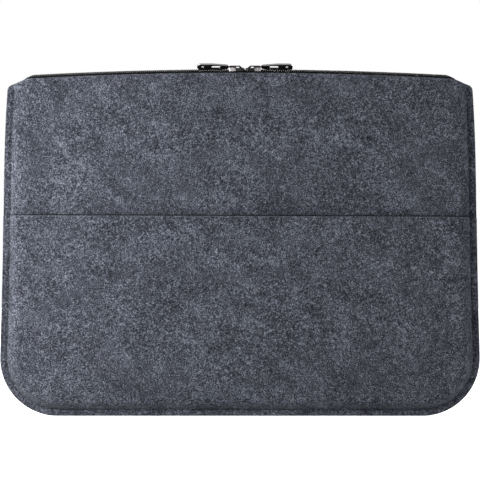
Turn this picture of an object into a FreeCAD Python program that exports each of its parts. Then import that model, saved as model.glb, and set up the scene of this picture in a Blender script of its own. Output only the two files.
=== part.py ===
import FreeCAD, Part
import math
import os
import re
import Sketcher
from FreeCAD import Placement, Rotation, Vector

# Felt laptop sleeve that stands on its bottom seam. X runs along the zip, +Y is the back, +Z is up.
# The origin is the middle of the bottom edge, halfway through the three layers of felt there.

doc = FreeCAD.newDocument("LaptopSleeve")
sheet = doc.addObject("Spreadsheet::Sheet", "Dimensions")

drivingDimensions = {
    "feltThickness": 3.0,
    "cornerCentre": 142.2,      # from the middle to a bottom corner's centre
    "cornerRadius": 45.0,
    "sideLean": 1.7,            # degrees that each side edge leans inwards
    "drawHeight": 300.0,        # outlines are drawn to here and then trimmed
    "trimDepth": 60.0,          # trimming solids reach this far in front and behind
    "trimMargin": 1.0,          # and this far past what they keep
    "seamMargin": 5.5,          # cut edge to stitch line
    "threadWidth": 0.6,
    "threadDepth": 0.3,
    "rampWidth": 12.0,          # width of the slope between seam and flat face
    "cavityDepth": 14.0,
    "pocketHeight": 156.0,
    "pocketDepth": 4.6,
    "chainHeight": 269.7,       # middle of the zip chain above the bottom edge
    "chainBow": 3000.0,         # radius of the zip's gentle upward bow
    "mouthDrop": 2.1,           # chain middle to the felt's top edge
    "earRoot": 166.0,           # where the mouth ends and the sewn ear begins
    "earSlope": 20.6,
    "earTop": 177.0,
    "earSide": 181.4,
    "earBevel": 6.5,
    "coilInner": 0.55,
    "coilOuter": 3.1,
    "coilHalfHeight": 1.15,
    "coilShoulder": 0.7,
    "coilLength": 165.5,        # half length of the coil
    "cordWidth": 1.0,
    "cordHeight": 0.8,
    "cordClearance": 0.1,
    "tapeThickness": 0.5,
    "tapeWidth": 6.9,
    "tapeDrop": 11.0,           # chain middle to the tape's lower edge inside the sleeve
    "tapeLength": 162.5,
    "coilThreadWidth": 0.4,
    "coilThreadDepth": 0.15,
    "zipSeamDrop": 6.0,         # chain middle to the seam that holds the tape, flush in the felt
    "endTackLength": 3.2,
    "endTackWidth": 5.2,
    "endTackHeight": 2.2,
    "endTackSlope": 35.0,
    "sliderHalf": 6.05,
    "sliderRear": 4.3,          # half width of the slider at its rear
    "sliderNose": 5.1,
    "sliderTip": 3.6,
    "sliderWall": 0.85,
    "rearChamfer": 0.75,        # along the slider, from its rear edge
    "noseStart": 0.5,           # along the slider, from its middle, as are the next four
    "noseFull": 3.0,
    "noseEnd": 4.5,
    "dividerStart": 2.7,
    "dividerEnd": 5.15,
    "plateThickness": 0.6,
    "plateTop": 1.95,           # top of the upper plate above the chain's middle
    "flangeBottom": -0.7,
    "lowerPlateTop": -2.0,
    "dividerHalf": 0.35,
    "bridgeHalf": 1.1,
    "bridgeTop": 3.95,
    "bridgeThickness": 0.9,
    "bridgeRear": 5.75,         # along the slider, from its middle, as are the next five
    "crownRear": 5.2,
    "crownFront": 2.4,
    "archRear": 4.1,
    "archFront": 1.8,
    "archFoot": 2.2,
    "leftSliderPlace": -2.55,
    "rightSliderPlace": 10.35,
    "eyeBarPlace": -0.6,        # eye bar from the slider's middle
    "eyeBarHeight": 2.5,
    "eyeWire": 0.8,
    "eyeHalf": 1.85,
    "eyeBend": 0.48,            # radius of the wire's bends
    "tabStart": 6.6,
    "tabEnd": 30.4,
    "tabThickness": 1.5,
    "tabRootHalf": 2.0,
    "tabTipHalf": 3.5,
    "tipShoulder": 2.6,         # the tip's corners, measured back from its end and out from its middle
    "tipCorner": 0.8,
    "tipCornerHalf": 2.7,
    "tipHalf": 0.9,
    "tabRoll": 38.0,            # the tab leans back behind the chain
    "tabSide": 1.4,
    "tabHeight": 3.1,
    "tabHoleRadius": 1.0,
    "tabHoleFromTip": 4.5,
    "tabSlotFromTip": 11.5,
    "tabSlotLength": 6.5,
    "tabSlotWidth": 2.6,
}

for row, (alias, number) in enumerate(drivingDimensions.items(), start=1):
    sheet.set(f"A{row}", alias)
    sheet.set(f"B{row}", str(number))
    sheet.setAlias(f"B{row}", alias)
doc.recompute()


def cell(expression):
    """The expression with each name in it pointing at its cell in the sheet."""

    def pointed(word):
        return f"Dimensions.{word[0]}" if word[0] in drivingDimensions else word[0]

    return re.sub(r"[A-Za-z]\w*", pointed, expression)


def bind(thing, prop, expression):
    thing.setExpression(prop, cell(expression))


def add(kind, name, **links):
    """A document object with its links set."""
    thing = doc.addObject(kind, name)
    for key, value in links.items():
        setattr(thing, key, value)
    return thing


def polygon(sketch, points):
    """Draws a closed polygon whose corners are bound to (across, up) expressions."""
    first = sketch.GeometryCount
    count = len(points)
    turns = [2 * math.pi * k / count for k in range(count)]
    corners = [Vector(10 * math.cos(a), 10 * math.sin(a), 0) for a in turns]
    for k in range(count):
        sketch.addGeometry(Part.LineSegment(corners[k], corners[(k + 1) % count]))
    for k in range(count):
        sketch.addConstraint(Sketcher.Constraint("Coincident", first + k, 2, first + (k + 1) % count, 1))
    for k, (across, up) in enumerate(points):
        constrain(sketch, across, "DistanceX", -1, 1, first + k, 1, corners[k].x)
        constrain(sketch, up, "DistanceY", -1, 1, first + k, 1, corners[k].y)


# sketch planes: the front view (X, Z) and the end view (Y, Z)
frontView = Rotation(Vector(1, 0, 0), 90)
endView = Rotation(Vector(1, 1, 1), 120)


def flip(point):
    """The point mirrored to the other side of the middle."""
    return Vector(-point.x, point.y, 0)


def arc(x, up, radius, start, end):
    circle = Part.Circle(Vector(x, up, 0), Vector(0, 0, 1), radius)
    return Part.ArcOfCircle(circle, start, end)


def constrain(sketch, expression, *facts):
    """A sketch constraint whose size is bound to an expression."""
    index = sketch.addConstraint(Sketcher.Constraint(*facts))
    bind(sketch, f"Constraints[{index}]", expression)


def outline(name, inset, depth):
    """The sleeve's round-cornered outline, inset from its edge, on the front-view plane at a depth in Y."""
    sketch = doc.addObject("Sketcher::SketchObject", name)
    sketch.Placement = Placement(Vector(0, 0, 0), frontView)
    bind(sketch, "Placement.Base.y", depth)
    # a drawing at the stitch line, which the constraints then move to the inset
    lean = math.radians(drivingDimensions["sideLean"])
    radius = drivingDimensions["cornerRadius"] - drivingDimensions["seamMargin"]
    middle = drivingDimensions["cornerCentre"]
    centre = drivingDimensions["cornerRadius"]
    low = centre - radius
    high = drivingDimensions["drawHeight"]
    rise = Vector(-math.sin(lean), math.cos(lean), 0)
    sideStart = Vector(middle + radius * math.cos(lean), centre + radius * math.sin(lean), 0)
    sideEnd = sideStart + rise * ((high - sideStart.y) / rise.y)
    bottom = sketch.addGeometry(Part.LineSegment(Vector(-middle, low, 0), Vector(middle, low, 0)))
    right = sketch.addGeometry(arc(middle, centre, radius, -math.pi / 2, lean))
    rightSide = sketch.addGeometry(Part.LineSegment(sideStart, sideEnd))
    top = sketch.addGeometry(Part.LineSegment(sideEnd, flip(sideEnd)))
    leftSide = sketch.addGeometry(Part.LineSegment(flip(sideEnd), flip(sideStart)))
    left = sketch.addGeometry(arc(-middle, centre, radius, math.pi - lean, 3 * math.pi / 2))
    for kind, a, aEnd, b, bEnd in (
        ("Tangent", bottom, 2, right, 1),
        ("Tangent", right, 2, rightSide, 1),
        ("Coincident", rightSide, 2, top, 1),
        ("Coincident", top, 2, leftSide, 1),
        ("Tangent", leftSide, 2, left, 1),
        ("Tangent", left, 2, bottom, 1),
    ):
        sketch.addConstraint(Sketcher.Constraint(kind, a, aEnd, b, bEnd))
    sketch.addConstraint(Sketcher.Constraint("Horizontal", bottom))
    sketch.addConstraint(Sketcher.Constraint("Horizontal", top))
    constrain(sketch, inset, "DistanceY", -1, 1, bottom, 1, low)
    constrain(sketch, "drawHeight", "DistanceY", -1, 1, top, 1, high)
    constrain(sketch, "cornerCentre", "DistanceX", -1, 1, right, 3, middle)
    constrain(sketch, "-1 * cornerCentre", "DistanceX", -1, 1, left, 3, -middle)
    constrain(sketch, f"cornerRadius - ( {inset} )", "Radius", right, radius)
    constrain(sketch, f"cornerRadius - ( {inset} )", "Radius", left, radius)
    upright = math.pi / 2
    constrain(sketch, "90 + sideLean", "Angle", -1, 1, rightSide, 1, upright + lean)
    constrain(sketch, "90 - sideLean", "Angle", -1, 1, leftSide, 2, upright - lean)
    return sketch


def extrusion(name, sketch, length):
    """Extrudes towards +Y by a length, or towards -Y by a negative one."""
    solid = add("Part::Extrusion", name, Base=sketch, DirMode="Custom", Dir=Vector(0, 1, 0), Solid=True)
    bind(solid, "LengthFwd", length)
    return solid


def makeTopTrim():
    """Everything below the sleeve's top edge: the mouth's bow between two sloping ears."""
    disc = doc.addObject("Part::Cylinder", "MouthBow")
    bind(disc, "Radius", "chainBow - mouthDrop")
    bind(disc, "Height", "2 * trimDepth")
    disc.Placement = Placement(Vector(0, 0, 0), frontView)
    bind(disc, "Placement.Base.y", "trimDepth")
    bind(disc, "Placement.Base.z", "chainHeight - chainBow")
    roof = doc.addObject("Sketcher::SketchObject", "EarLines")
    roof.Placement = Placement(Vector(0, 0, 0), frontView)
    bind(roof, "Placement.Base.y", "-1 * trimDepth")
    root = "chainHeight - mouthDrop - earRoot * earRoot / 2 / chainBow"
    ear = f"{root} - ( earTop - earRoot ) * tan( earSlope )"
    halfRoof = [
        ("drawHeight", "-1 * trimMargin"),
        ("drawHeight", f"{ear} - earBevel - trimDepth"),
        ("earSide", f"{ear} - earBevel"),
        ("earTop", ear),
    ]
    peak = [("0", f"{root} + earRoot * tan( earSlope )")]
    otherHalf = [(f"-1 * {x}", z) for x, z in reversed(halfRoof)]
    polygon(roof, halfRoof + peak + otherHalf)
    prism = extrusion("EarPrism", roof, "2 * trimDepth")
    return add("Part::Common", "TopTrim", Base=disc, Tool=prism)


def makeFelt(label, name, inner, outward, depth, trim):
    """A felt panel: a flat rim along the seam and a dish that stands out by a depth."""
    foot = "seamMargin + threadWidth"
    outer = f"{inner} + {outward} * feltThickness"
    edge = outline(name + "Edge", "0", inner)
    rim = extrusion(name + "Rim", edge, f"{outward} * feltThickness")
    dishes = []
    for part, start in (("Outside", outer), ("Inside", inner)):
        sections = [
            outline(name + part + "Foot", foot, start),
            outline(name + part + "Face", f"{foot} + rampWidth", f"{start} + {outward} * ( {depth} )"),
        ]
        dishes.append(add("Part::Loft", name + part, Sections=sections, Solid=True, Ruled=True))
    whole = add("Part::Fuse", name + "Whole", Base=rim, Tool=dishes[0])
    shell = add("Part::Cut", name + "Shell", Base=whole, Tool=dishes[1])
    panel = add("Part::Common", name, Base=shell, Tool=trim)
    panel.Label = label
    return panel


def grooved(panel, thread):
    """The panel with a groove that its thread fills."""
    label = panel.Label
    panel.Label = panel.Name
    cut = add("Part::Cut", panel.Name + "Grooved", Base=panel, Tool=thread)
    cut.Label = label
    return cut


def makePocketTrim():
    """Everything below the pocket's straight mouth."""
    trim = doc.addObject("Part::Box", "PocketTrim")
    bind(trim, "Length", "2 * drawHeight")
    bind(trim, "Width", "2 * trimDepth")
    bind(trim, "Height", "pocketHeight + trimMargin")
    bind(trim, "Placement.Base.x", "-1 * drawHeight")
    bind(trim, "Placement.Base.y", "-1 * trimDepth")
    bind(trim, "Placement.Base.z", "-1 * trimMargin")
    return trim


def threadRing(name, depth, length, trim):
    """A run of seam thread that follows the outline on one face of the felt."""
    edges = [
        extrusion(name + word, outline(name + word + "Line", inset, depth), length)
        for word, inset in (
            ("Out", "seamMargin - threadWidth / 2"),
            ("In", "seamMargin + threadWidth / 2"),
        )
    ]
    ring = add("Part::Cut", name + "Ring", Base=edges[0], Tool=edges[1])
    return add("Part::Common", name, Base=ring, Tool=trim)


def makeEdgeSeam(topTrim, pocketTrim):
    """The needle thread on the front and the bobbin thread on the back of the side and bottom seam."""
    above = add("Part::Cut", "AbovePocket", Base=topTrim, Tool=pocketTrim)
    upper = threadRing("UpperNeedle", "-1 * feltThickness / 2", "-1 * threadDepth", above)
    lower = threadRing("LowerNeedle", "-3 * feltThickness / 2", "-1 * threadDepth", pocketTrim)
    needle = add("Part::Compound", "NeedleThread", Links=[upper, lower])
    needle.Label = "edge_seam_needle_thread"
    bobbin = threadRing("BobbinThread", "3 * feltThickness / 2", "threadDepth", topTrim)
    bobbin.Label = "edge_seam_bobbin_thread"
    return [needle, bobbin]


def zipSweep(label, name, side, loops, length):
    """A strip along the bowed zip, from loops of (across, above) points off the chain's middle."""
    sketch = doc.addObject("Sketcher::SketchObject", name + "Section")
    sketch.Placement = Placement(Vector(0, 0, 0), endView)
    for loop in loops:
        corners = [
            (f"feltThickness / 2 + {side} * ( {across} )", f"chainHeight + ( {above} )")
            for across, above in loop
        ]
        polygon(sketch, corners)
    strip = add("Part::Revolution", name, Source=sketch, Axis=Vector(0, 1, 0), Symmetric=True, Solid=True)
    bind(strip, "Base.z", "chainHeight - chainBow")
    bind(strip, "Angle", f"2 * {length} / chainBow * 180 / pi")
    strip.Label = label
    return strip


def block(left, right, low, high):
    """The four corners of a section."""
    return [(left, low), (right, low), (right, high), (left, high)]


def makeZipHalf(word, side):
    """One half of the zip: tape, coil, the cord inside the coil and the row of thread beside it."""
    name = word.capitalize()
    tapeTop = "-1 * coilHalfHeight"
    tapeLow = "-1 * coilHalfHeight - tapeThickness"
    tape = [
        ("coilInner", tapeTop),
        ("coilInner", tapeLow),
        ("tapeWidth - tapeThickness", tapeLow),
        ("tapeWidth - tapeThickness", "-1 * tapeDrop"),
        ("tapeWidth", "-1 * tapeDrop"),
        ("tapeWidth", tapeTop),
    ]
    coil = [
        ("coilInner", "-1 * coilHalfHeight"),
        ("coilOuter", "-1 * coilHalfHeight"),
        ("coilOuter", "coilHalfHeight - coilShoulder"),
        ("coilOuter - coilShoulder", "coilHalfHeight"),
        ("coilInner", "coilHalfHeight"),
    ]
    middle = "( coilInner + coilOuter ) / 2"
    bore = block(
        f"{middle} - cordWidth / 2 - cordClearance",
        f"{middle} + cordWidth / 2 + cordClearance",
        "-1 * cordHeight / 2 - cordClearance",
        "cordHeight / 2 + cordClearance",
    )
    cord = block(
        f"{middle} - cordWidth / 2", f"{middle} + cordWidth / 2", "-1 * cordHeight / 2", "cordHeight / 2"
    )
    rowStart = "coilOuter + cordClearance"
    row = block(rowStart, f"{rowStart} + coilThreadWidth", tapeTop, f"{tapeTop} + coilThreadDepth")
    return [
        zipSweep(f"zip_tape_{word}", f"{name}Tape", side, [tape], "tapeLength"),
        zipSweep(f"zip_coil_{word}", f"{name}Coil", side, [coil, bore], "coilLength"),
        zipSweep(f"zip_coil_cord_{word}", f"{name}Cord", side, [cord], "coilLength"),
        zipSweep(f"zip_coil_stitching_{word}", f"{name}CoilRow", side, [row], "tapeLength"),
    ]


def makeZipSeam(word, side):
    """The thread that holds a tape, pulled into the felt until it is flush with the felt's face."""
    face = "cavityDepth / 2 + feltThickness"
    seam = block(
        f"{face} - threadDepth", face, "-1 * zipSeamDrop - threadWidth", "-1 * zipSeamDrop"
    )
    return zipSweep(f"zip_seam_thread_{word}", f"{word.capitalize()}ZipSeam", side, [seam], "tapeLength")


def onChain(thing, place, turn=0):
    """Stands a piece on the bowed chain at a distance along it."""
    radius = value("chainBow")
    angle = value(place) / radius
    centre = value("chainHeight") - radius
    middle = value("feltThickness") / 2
    at = Vector(radius * math.sin(angle), middle, centre + radius * math.cos(angle))
    tilt = Rotation(Vector(0, 1, 0), math.degrees(angle))
    thing.Placement = Placement(at, tilt * Rotation(Vector(0, 0, 1), turn))


def value(name):
    """A dimension as the sheet holds it."""
    return float(sheet.get(name))


def originPlane(body, role):
    return next(f for f in body.Origin.OriginFeatures if f.Role == role)


def bodySketch(body, name, role, points, offset=None):
    """A closed polygon on one of a body's origin planes, lifted off it by an offset."""
    sketch = body.newObject("Sketcher::SketchObject", name)
    sketch.AttachmentSupport = [(originPlane(body, role), "")]
    sketch.MapMode = "FlatFace"
    if offset:
        bind(sketch, "AttachmentOffset.Base.z", offset)
    polygon(sketch, points)
    return sketch


def feature(body, kind, name, sketch, length, both=False):
    """A Pad or Pocket of a sketch by a length, upwards from its plane or to both sides of it."""
    made = body.newObject(f"PartDesign::{kind}", name)
    made.Profile = sketch
    bind(made, "Length", length)
    made.Midplane = both
    made.Reversed = kind == "Pocket" and not both
    return made


def mirrored(halfPoints):
    """A closed outline from its upper half."""
    return halfPoints + [(x, f"-1 * ( {y} )") for x, y in reversed(halfPoints)]


def makeSlider(label, name, place, turn):
    """A zip slider: two plates joined by a divider, side walls round the coil and a low bridge."""
    body = doc.addObject("PartDesign::Body", name)
    plan = mirrored([
        ("-1 * sliderHalf", "sliderTip"),
        ("-1 * sliderHalf + rearChamfer", "sliderRear"),
        ("noseStart", "sliderRear"),
        ("noseFull", "sliderNose"),
        ("noseEnd", "sliderNose"),
        ("sliderHalf", "sliderTip"),
    ])
    channel = mirrored([
        ("-2 * sliderHalf", "sliderRear - sliderWall"),
        ("noseStart", "sliderRear - sliderWall"),
        ("noseFull", "sliderNose - sliderWall"),
        ("2 * sliderHalf", "sliderNose - sliderWall"),
    ])
    divider = block("dividerStart", "dividerEnd", "-1 * dividerHalf", "dividerHalf")
    foot = "plateTop - plateThickness / 2"
    beam = "bridgeTop - bridgeThickness"
    bridge = [
        ("-1 * bridgeRear", foot),
        ("-1 * bridgeRear", f"{beam} + bridgeThickness / 3"),
        ("-1 * crownRear", "bridgeTop"),
        ("crownFront", "bridgeTop"),
        ("dividerEnd", foot),
        ("archFoot", foot),
        ("archFront", beam),
        ("-1 * archRear", beam),
        ("-1 * archRear", foot),
    ]
    upper = bodySketch(body, name + "Plan", "XY_Plane", plan, "flangeBottom")
    feature(body, "Pad", name + "Upper", upper, "plateTop - flangeBottom")
    doc.recompute()
    groove = bodySketch(body, name + "Groove", "XY_Plane", channel, "flangeBottom")
    feature(body, "Pocket", name + "Channel", groove, "plateTop - plateThickness - flangeBottom")
    doc.recompute()
    lowest = "lowerPlateTop - plateThickness"
    post = bodySketch(body, name + "Post", "XY_Plane", divider, lowest)
    feature(body, "Pad", name + "Divider", post, f"plateTop - plateThickness / 2 - ( {lowest} )")
    lower = bodySketch(body, name + "LowerPlan", "XY_Plane", plan, lowest)
    feature(body, "Pad", name + "Lower", lower, "plateThickness")
    arch = bodySketch(body, name + "Arch", "XZ_Plane", bridge)
    feature(body, "Pad", name + "Bridge", arch, "2 * bridgeHalf", both=True)
    onChain(body, place, turn)
    body.Label = label
    return body


def roundedPath(points, radius):
    """Straight runs through the points, joined by tangent arcs of one radius."""
    edges = []
    start = points[0]
    for before, corner, after in zip(points, points[1:], points[2:]):
        a = (before - corner).normalize()
        b = (after - corner).normalize()
        half = a.getAngle(b) / 2
        reach = radius / math.tan(half)
        inward = (a + b).normalize()
        middle = corner + inward * (radius / math.sin(half) - radius)
        edges.append(Part.LineSegment(start, corner + a * reach).toShape())
        edges.append(Part.Arc(corner + a * reach, middle, corner + b * reach).toShape())
        start = corner + b * reach
    edges.append(Part.LineSegment(start, points[-1]).toShape())
    return Part.Wire(edges)


def makeEye(name, away):
    """The wire eye at the tab's root: its middle bar passes under the slider's bridge."""
    half = value("eyeHalf")
    roll = math.radians(value("tabRoll"))
    corner = value("tabRootHalf") - value("eyeWire") / 2
    root = value("tabStart") + value("eyeWire")
    straight = value("sliderHalf") + value("eyeBarPlace") - value("eyeWire") / 4
    rise = value("tabHeight") - value("eyeBarHeight")
    route = [
        Vector(root, value("tabSide") - corner * math.cos(roll), rise + corner * math.sin(roll)),
        Vector(straight, -half, rise),
        Vector(0, -half, 0),
        Vector(0, half, 0),
        Vector(straight, half, 0),
        Vector(root, value("tabSide") + corner * math.cos(roll), rise - corner * math.sin(roll)),
    ]
    path = roundedPath([Vector(away * p.x, p.y, p.z) for p in route], value("eyeBend"))
    first = path.Edges[0]
    start = first.FirstParameter
    ring = Part.Circle(first.valueAt(start), first.tangentAt(start), value("eyeWire") / 2)
    eye = doc.addObject("Part::Feature", name)
    eye.Shape = path.makePipeShell([Part.Wire(ring.toShape())], True, False)
    return eye


def makePull(label, name, place, away):
    """A pull tab with a wire eye. It lies along the chain, rolled back behind it."""
    plate = doc.addObject("PartDesign::Body", name + "Plate")
    shape = mirrored([
        (f"{away} * tabStart", "tabRootHalf"),
        (f"{away} * ( tabStart + tabEnd ) / 2", "tabTipHalf"),
        (f"{away} * ( tabEnd - tipShoulder )", "tabTipHalf"),
        (f"{away} * ( tabEnd - tipCorner )", "tipCornerHalf"),
        (f"{away} * tabEnd", "tipHalf"),
    ])
    flat = bodySketch(plate, name + "Flat", "XY_Plane", shape)
    feature(plate, "Pad", name + "Tab", flat, "tabThickness", both=True)
    doc.recompute()
    slotEnd = f"{away} * ( tabEnd - tabSlotFromTip )"
    slotStart = f"{away} * ( tabEnd - tabSlotFromTip - tabSlotLength )"
    opening = block(slotStart, slotEnd, "-1 * tabSlotWidth / 2", "tabSlotWidth / 2")
    slot = bodySketch(plate, name + "SlotShape", "XY_Plane", opening)
    feature(plate, "Pocket", name + "Slot", slot, "2 * tabThickness", both=True)
    doc.recompute()
    hole = plate.newObject("Sketcher::SketchObject", name + "HoleShape")
    hole.AttachmentSupport = [(originPlane(plate, "XY_Plane"), "")]
    hole.MapMode = "FlatFace"
    hole.addGeometry(Part.Circle(Vector(away, 0, 0), Vector(0, 0, 1), 1))
    hole.addConstraint(Sketcher.Constraint("PointOnObject", 0, 3, -1))
    hole.addConstraint(Sketcher.Constraint("DistanceX", -1, 1, 0, 3, away))
    hole.addConstraint(Sketcher.Constraint("Radius", 0, 1))
    bind(hole, "Constraints[1]", f"{away} * ( tabEnd - tabHoleFromTip )")
    bind(hole, "Constraints[2]", "tabHoleRadius")
    feature(plate, "Pocket", name + "Hole", hole, "2 * tabThickness", both=True)
    rise = value("tabHeight") - value("eyeBarHeight")
    plate.Placement = Placement(
        Vector(0, value("tabSide"), rise), Rotation(Vector(1, 0, 0), -value("tabRoll"))
    )
    pull = add("Part::Fuse", name, Base=plate, Tool=makeEye(name + "Eye", away))
    onChain(pull, place)
    bar = Vector(-away * value("eyeBarPlace"), 0, value("eyeBarHeight"))
    pull.Placement = pull.Placement * Placement(bar, Rotation())
    pull.Label = label
    return pull


def makeEndTack(label, name, side):
    """A short thick row of stitches that closes one end of the zip and dives into the ear."""
    tack = doc.addObject("Part::Box", name)
    bind(tack, "Length", "endTackLength")
    bind(tack, "Width", "endTackWidth")
    bind(tack, "Height", "endTackHeight")
    radius = value("chainBow")
    angle = (value("coilLength") + value("cordClearance")) / radius
    at = Vector(
        side * radius * math.sin(angle),
        value("feltThickness") / 2 + side * value("endTackWidth") / -2,
        value("chainHeight") - radius + radius * math.cos(angle) - value("endTackHeight") / 2,
    )
    around = Rotation(Vector(0, 0, 1), 0 if side > 0 else 180)
    tack.Placement = Placement(at, around * Rotation(Vector(0, 1, 0), value("endTackSlope")))
    tack.Label = label
    return tack


def makeSleeve():
    topTrim = makeTopTrim()
    pocketTrim = makePocketTrim()
    halfCavity = "cavityDepth / 2"
    pocketDepth = f"{halfCavity} + pocketDepth"
    seams = [makeZipSeam("back", 1), makeZipSeam("front", -1)]
    back = makeFelt("back_panel", "BackPanel", "feltThickness / 2", 1, halfCavity, topTrim)
    front = makeFelt("front_panel", "FrontPanel", "feltThickness / 2", -1, halfCavity, topTrim)
    pocket = makeFelt("pocket_panel", "PocketPanel", "-1 * feltThickness / 2", -1, pocketDepth, pocketTrim)
    pieces = [grooved(back, seams[0]), grooved(front, seams[1]), pocket] + seams
    pieces += makeEdgeSeam(topTrim, pocketTrim)
    pieces += makeZipHalf("front", -1) + makeZipHalf("back", 1)
    pieces.append(makeEndTack("zip_end_tack_left", "LeftEndTack", -1))
    pieces.append(makeEndTack("zip_end_tack_right", "RightEndTack", 1))
    pieces.append(makeSlider("slider_left", "LeftSlider", "leftSliderPlace", 0))
    pieces.append(makeSlider("slider_right", "RightSlider", "rightSliderPlace", 180))
    pieces.append(makePull("pull_left", "LeftPull", "leftSliderPlace", -1))
    pieces.append(makePull("pull_right", "RightPull", "rightSliderPlace", 1))
    return pieces


def export(pieces):
    """Writes each piece to its own file once the whole document is sound."""
    doc.recompute()
    broken = [o.Name for o in doc.Objects if {"Invalid", "Error"} & set(o.State)]
    broken += [p.Label for p in pieces if p.Shape.isNull() or not p.Shape.isValid()]
    if broken:
        raise SystemExit("these objects failed: " + ", ".join(broken))
    os.makedirs("parts", exist_ok=True)
    for piece in pieces:
        piece.Shape.exportStep(f"parts/{piece.Label}.step")
        print(piece.Label, len(piece.Shape.Solids), "solids", round(piece.Shape.Volume, 1), "mm3")


export(makeSleeve())
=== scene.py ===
import math

import bmesh
import bpy
from mathutils import Matrix, Vector, noise
from mathutils.geometry import delaunay_2d_cdt


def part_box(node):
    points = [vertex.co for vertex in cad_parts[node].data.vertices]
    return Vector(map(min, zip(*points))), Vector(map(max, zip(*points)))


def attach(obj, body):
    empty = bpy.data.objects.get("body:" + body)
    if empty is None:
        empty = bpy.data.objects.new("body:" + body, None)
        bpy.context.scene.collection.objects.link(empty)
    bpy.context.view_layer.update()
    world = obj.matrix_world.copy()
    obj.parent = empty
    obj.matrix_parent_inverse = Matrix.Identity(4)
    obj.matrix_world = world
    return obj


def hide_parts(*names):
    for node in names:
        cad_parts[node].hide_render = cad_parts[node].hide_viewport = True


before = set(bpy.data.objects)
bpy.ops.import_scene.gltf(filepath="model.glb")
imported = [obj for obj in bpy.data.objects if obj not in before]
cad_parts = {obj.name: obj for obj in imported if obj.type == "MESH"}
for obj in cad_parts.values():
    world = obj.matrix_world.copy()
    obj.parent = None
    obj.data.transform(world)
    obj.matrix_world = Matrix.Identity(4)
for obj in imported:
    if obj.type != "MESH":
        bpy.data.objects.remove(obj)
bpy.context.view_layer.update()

print("frame loaded:", len(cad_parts), "nodes")

# lengths are in metres, x runs along the zip, +y is the back, z is up
sleeve = {
    "feltThickness": 0.003,
    "cornerCentre": 0.1422,  # middle to the centre of a bottom corner
    "cornerRadius": 0.045,
    "sideLean": math.radians(1.7),
    "sideBow": 0.0015,  # the sides swell outwards this much above the middle
    "sideBowStart": 0.07,  # over these heights
    "sideBowHeight": 0.2,
    "cavityDepth": 0.014,
    "pocketGap": 0.0024,  # the empty pocket lies this far off the panel near its bottom
    "pocketMouthGap": 0.0003,
    "pocketEase": 0.08,  # the gap grows over this far below the mouth
    "pocketTop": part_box("pocket_panel")[1][2],
    "pocketTilt": -0.0036,  # the pocket's mouth drops a little to the right
    "earRoot": 0.166,
    "earSlope": math.radians(20.6),
    "earRounding": 0.0052,
    "pocketRounding": 0.0012,
    "topLoss": 0.985,  # share of its height that the bow and the ears leave a panel
}
zipPath = {
    "bow": 3.0,  # radius of the zip's gentle bow
    "height": 0.2697,  # middle of the coil at x = 0
    "middle": 0.0015,  # y of the zip's middle
    "feltDrop": 0.0021,  # coil middle to the felt's edge
    "coilEnd": 0.1695,
    "bendStart": 0.160,  # past here the coil curves down into the ears
    "bend": 48.0,
}


# a socket that can be added, multiplied and so on, which adds the Math nodes
class Wire:
    def __init__(self, graph, socket):
        self.graph = graph
        self.socket = socket

    def math(self, operation, other=None, swap=False):
        values = [self, other] if not swap else [other, self]
        inputs = {k: v for k, v in enumerate(values) if v is not None}
        return self.graph.wire("ShaderNodeMath", {"operation": operation}, inputs)

    def __add__(self, other):
        return self.math("ADD", other)

    def __radd__(self, other):
        return self.math("ADD", other, True)

    def __sub__(self, other):
        return self.math("SUBTRACT", other)

    def __rsub__(self, other):
        return self.math("SUBTRACT", other, True)

    def __mul__(self, other):
        return self.math("MULTIPLY", other)

    def __truediv__(self, other):
        return self.math("DIVIDE", other)

    def __pow__(self, other):
        return self.math("POWER", other)

    def __abs__(self):
        return self.math("ABSOLUTE")

    # 0 below low, 1 above high and a soft step between them
    def above(self, low, high):
        step = {"Value": self, "From Min": low, "From Max": high}
        return self.graph.wire("ShaderNodeMapRange", {"interpolation_type": "SMOOTHSTEP"}, step)


# a node tree whose nodes all come from one method
class Graph:
    def __init__(self, tree):
        self.tree = tree

    def node(self, kind, settings=None, inputs=None):
        made = self.tree.nodes.new(kind)
        for key, setting in (settings or {}).items():
            if key == "stops":
                self.setRamp(made.color_ramp, setting)
            else:
                setattr(made, key, setting)
        for key, given in (inputs or {}).items():
            self.feed(made.inputs[key], given)
        return made

    def feed(self, socket, given):
        if isinstance(given, Wire):
            self.tree.links.new(given.socket, socket)
        elif isinstance(given, bpy.types.NodeSocket):
            self.tree.links.new(given, socket)
        else:
            socket.default_value = given

    def wire(self, kind, settings=None, inputs=None, out=0):
        return Wire(self, self.node(kind, settings, inputs).outputs[out])

    def setRamp(self, ramp, stops):
        while len(ramp.elements) < len(stops):
            ramp.elements.new(0.5)
        for element, (position, colour) in zip(ramp.elements, stops):
            element.position = position
            element.color = (*colour, 1)


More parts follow.
